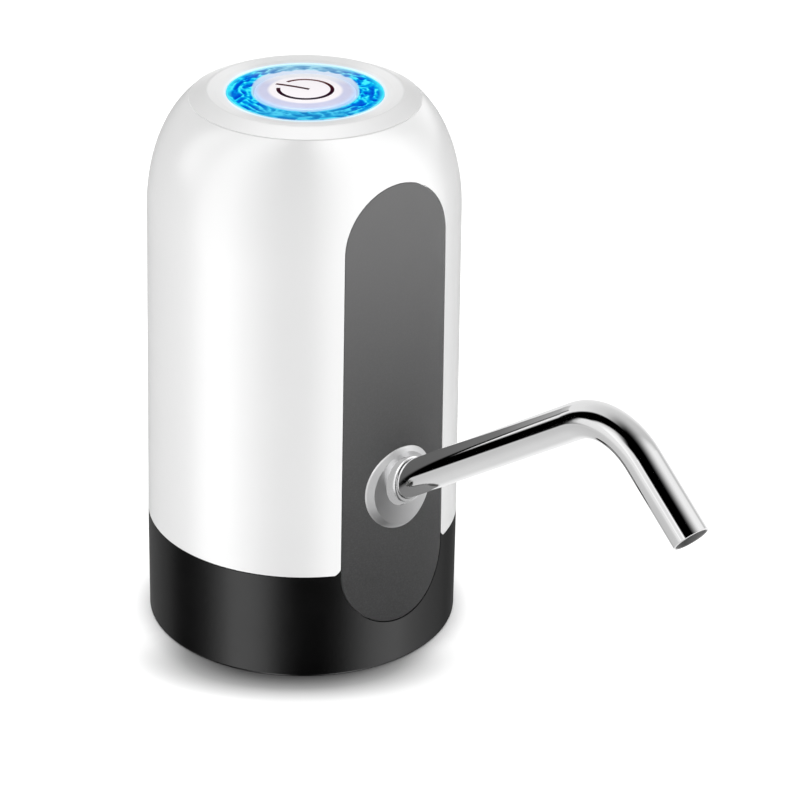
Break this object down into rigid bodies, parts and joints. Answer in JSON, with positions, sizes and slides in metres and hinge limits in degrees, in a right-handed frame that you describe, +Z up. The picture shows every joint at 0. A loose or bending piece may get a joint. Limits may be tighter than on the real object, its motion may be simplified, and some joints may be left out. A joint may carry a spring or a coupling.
{
  "type": "electric water jug pump",
  "caption": "Round rechargeable pump head that seats on a 55 mm water jug neck, with a lit push button on top and a bent steel spout that swivels and pulls out.",
  "frame": {"origin": "on the body axis in the plane of the foot rim, at the mouth of the jug neck socket", "axes": "+Z up along the body axis; the spout and the front panel face -Y; +X is to the right seen from the front (-Y side)"},
  "size_m": [0.075, 0.1719, 0.1344],
  "materials": {
    "white_shell": "gloss injection-moulded white plastic",
    "black_base": "gloss black plastic",
    "grey_panel": "satin dark grey plastic",
    "trim_grey": "satin pale grey plastic",
    "light_window": "clear blue light guide, lit",
    "button_white": "pearl white plastic",
    "mark_maroon": "dark red ink",
    "satin_metal": "satin metal finish",
    "collar_metal": "polished metal",
    "polished_steel": "mirror polished stainless tube",
    "silicone": "soft translucent white silicone",
    "black_rubber": "black rubber",
    "inner_plastic": "natural white moulded plastic",
    "pump_plastic": "grey filled plastic",
    "screw_steel": "zinc plated steel",
    "motor_steel": "plated steel can",
    "magnet": "ferrite",
    "copper": "enamelled copper",
    "battery_wrap": null,
    "board_green": "solder mask",
    "board_parts": "moulded packages",
    "led_white": "diode packages",
    "port_metal": "plated port shell",
    "lead_insulation": "insulated lead"
  },
  "bodies": {
    "root": {"upper_shell": "white_shell", "front_panel": "grey_panel", "base_collar": "black_base", "bulkhead": "inner_plastic", "chassis_screws": "screw_steel", "neck_sleeve": "silicone", "intake_spigot": "inner_plastic", "intake_gasket": "black_rubber", "top_trim_ring": "trim_grey", "light_ring": "light_window", "light_board": "board_green", "light_board_screws": "screw_steel", "light_diodes": "led_white", "switch_body": "board_parts", "pump_head": "pump_plastic", "pump_inlet_seal": "black_rubber", "valve_plate": "inner_plastic", "inlet_valves": "silicone", "outlet_valve": "silicone", "diaphragm": "black_rubber", "pump_housing": "pump_plastic", "pump_screws": "screw_steel", "pump_clamp": "inner_plastic", "clamp_screws": "screw_steel", "motor_can": "motor_steel", "motor_screws": "screw_steel", "motor_end_cap": "inner_plastic", "motor_terminals": "copper", "motor_bushings": "copper", "motor_magnets": "magnet", "motor_brushes": "magnet", "battery_cell": "battery_wrap", "battery_cradle": "inner_plastic", "battery_tabs": "port_metal", "control_board": "board_green", "board_components": "board_parts", "usb_shell": "port_metal", "usb_tongue": "board_parts", "spout_socket": "inner_plastic", "socket_screws": "screw_steel", "outlet_coupling": "silicone", "spout_bezel": "satin_metal", "motor_leads": "lead_insulation", "battery_leads": "lead_insulation", "light_leads": "lead_insulation"},
    "button": {"button_cap": "button_white", "power_mark": "mark_maroon", "switch_plunger": "board_parts"},
    "spout_fitting": {"spout_collar": "collar_metal", "spout_seal": "black_rubber"},
    "spout": {"spout_tube": "polished_steel"},
    "rotor": {"motor_shaft": "screw_steel", "rotor_core": "motor_steel", "rotor_windings": "copper", "commutator": "copper", "eccentric_hub": "inner_plastic"},
    "wobbler": {"wobble_plate": "inner_plastic", "drive_pin": "screw_steel"}
  },
  "joints": [
    {"name": "button_press", "type": "slide", "parent": "root", "child": "button", "axis": [0, 0, -1], "range_m": [0, 0.0008], "stiffness_N_per_m": 1500},
    {"name": "spout_pull", "type": "slide", "parent": "root", "child": "spout_fitting", "axis": [0, -0.8271, 0.5621], "range_m": [0, 0.018]},
    {"name": "spout_swivel", "type": "hinge", "parent": "spout_fitting", "child": "spout", "pos_m": [0, -0.037, 0.04795], "axis": [0, -0.8271, 0.5621], "continuous": true},
    {"name": "rotor_spin", "type": "hinge", "parent": "root", "child": "rotor", "pos_m": [0, 0, 0.07], "axis": [0, 0, 1], "continuous": true},
    {"name": "wobble_spin", "type": "hinge", "parent": "rotor", "child": "wobbler", "pos_m": [0, 0, 0.044], "axis": [0.1045, 0, 0.9945], "continuous": true, "deforming": ["diaphragm"]}
  ],
  "couplings": [
    {"joint": "wobble_spin", "follows": "rotor_spin", "ratio": -1}
  ]
}
